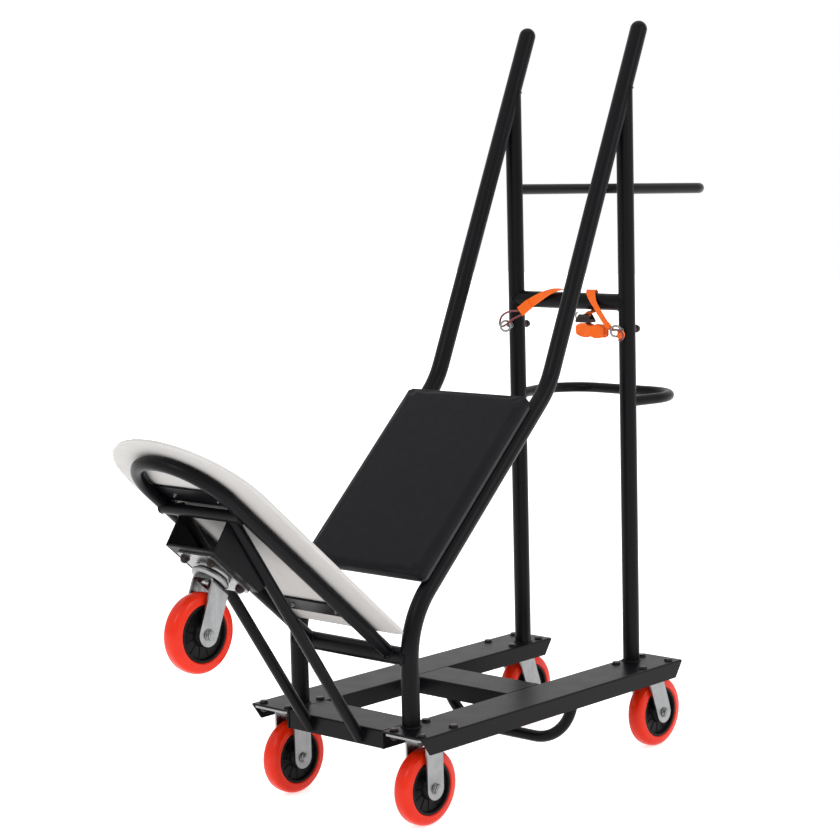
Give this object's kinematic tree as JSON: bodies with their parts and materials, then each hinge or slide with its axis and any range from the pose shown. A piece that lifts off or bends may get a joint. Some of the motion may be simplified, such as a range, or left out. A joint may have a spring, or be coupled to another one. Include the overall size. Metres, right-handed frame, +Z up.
{
  "type": "furniture dolly",
  "caption": "Furniture dolly with bent side tubes, a padded back rest, a tilted padded cradle with its own caster, handle loops, a channel base on casters and a lashing strap.",
  "frame": {"origin": "centre of the footprint on the ground", "axes": "+Z up, +Y towards the rear push handles, +X to the right-hand rail; the cradle is at -Y"},
  "size_m": [0.393, 1.2778, 1.3015],
  "materials": {
    "powder_coat": "satin black powder coat with a light orange peel",
    "zinc": "bright zinc plate",
    "tread": "glossy orange-red polyurethane tread",
    "hub": "black moulded core",
    "vinyl_black": "black upholstery vinyl, fine grain",
    "vinyl_white": "off-white upholstery vinyl",
    "board_white": "painted board",
    "board_black": "painted board",
    "webbing": "woven orange webbing",
    "dipped_wire": "dark red vinyl dip over steel wire",
    "buckle_steel": "dark plated steel"
  },
  "bodies": {
    "frame": {"rail_left": "powder_coat", "rail_right": "powder_coat", "cross_channel_front": "powder_coat", "cross_channel_rear": "powder_coat", "side_tube_left": "powder_coat", "side_tube_right": "powder_coat", "upright_left": "powder_coat", "upright_right": "powder_coat", "crossbar_mid": "powder_coat", "cross_tube_front": "powder_coat", "handle_loop_upper": "powder_coat", "handle_loop_lower": "powder_coat", "foot_loop": "powder_coat", "cradle_hoop": "powder_coat", "cradle_cross_tube": "powder_coat", "cradle_bar_lower": "powder_coat", "cradle_bar_upper": "powder_coat", "cradle_mount_plate": "powder_coat", "gusset_left": "powder_coat", "gusset_right": "powder_coat", "strut_left": "powder_coat", "strut_right": "powder_coat", "back_bar_lower": "powder_coat", "back_bar_upper": "powder_coat", "cradle_board": "board_white", "cradle_cushion": "vinyl_white", "back_board": "board_black", "back_cushion": "vinyl_black", "front_left_axle": "zinc", "front_right_axle": "zinc", "front_left_fork": "zinc", "front_right_fork": "zinc", "rear_left_plate": "zinc", "rear_right_plate": "zinc", "cradle_plate": "zinc", "eye_bolt_left": "zinc", "eye_bolt_right": "zinc", "strap_main": "webbing", "strap_drop": "webbing", "strap_bundle": "webbing", "strap_knot": "webbing", "hook_left": "dipped_wire", "hook_right": "dipped_wire", "cam_buckle": "buckle_steel"},
    "rear_left_swivel": {"rear_left_yoke": "zinc", "rear_left_axle": "zinc"},
    "rear_right_swivel": {"rear_right_yoke": "zinc", "rear_right_axle": "zinc"},
    "cradle_swivel": {"cradle_yoke": "zinc", "cradle_axle": "zinc"},
    "front_left_wheel": {"front_left_tyre": "tread", "front_left_hub": "hub"},
    "front_right_wheel": {"front_right_tyre": "tread", "front_right_hub": "hub"},
    "rear_left_wheel": {"rear_left_tyre": "tread", "rear_left_hub": "hub"},
    "rear_right_wheel": {"rear_right_tyre": "tread", "rear_right_hub": "hub"},
    "cradle_wheel": {"cradle_tyre": "tread", "cradle_hub": "hub"}
  },
  "joints": [
    {"name": "front_left_wheel_spin", "type": "hinge", "parent": "frame", "child": "front_left_wheel", "pos_m": [-0.152, -0.20533, 0.0635], "axis": [1, 0, 0], "continuous": true},
    {"name": "front_right_wheel_spin", "type": "hinge", "parent": "frame", "child": "front_right_wheel", "pos_m": [0.152, -0.20533, 0.0635], "axis": [1, 0, 0], "continuous": true},
    {"name": "rear_left_swivel_turn", "type": "hinge", "parent": "frame", "child": "rear_left_swivel", "pos_m": [-0.152, 0.37787, 0.156], "axis": [0, 0, 1], "continuous": true},
    {"name": "rear_left_wheel_spin", "type": "hinge", "parent": "rear_left_swivel", "child": "rear_left_wheel", "pos_m": [-0.152, 0.41087, 0.0635], "axis": [1, 0, 0], "continuous": true},
    {"name": "rear_right_swivel_turn", "type": "hinge", "parent": "frame", "child": "rear_right_swivel", "pos_m": [0.152, 0.37787, 0.156], "axis": [0, 0, 1], "continuous": true},
    {"name": "rear_right_wheel_spin", "type": "hinge", "parent": "rear_right_swivel", "child": "rear_right_wheel", "pos_m": [0.152, 0.41087, 0.0635], "axis": [1, 0, 0], "continuous": true},
    {"name": "cradle_swivel_turn", "type": "hinge", "parent": "frame", "child": "cradle_swivel", "pos_m": [0, -0.50887, 0.44808], "axis": [0, 0.6574, 0.7536], "continuous": true},
    {"name": "cradle_wheel_spin", "type": "hinge", "parent": "cradle_swivel", "child": "cradle_wheel", "pos_m": [0, -0.54482, 0.35668], "axis": [1, 0, 0], "continuous": true}
  ]
}
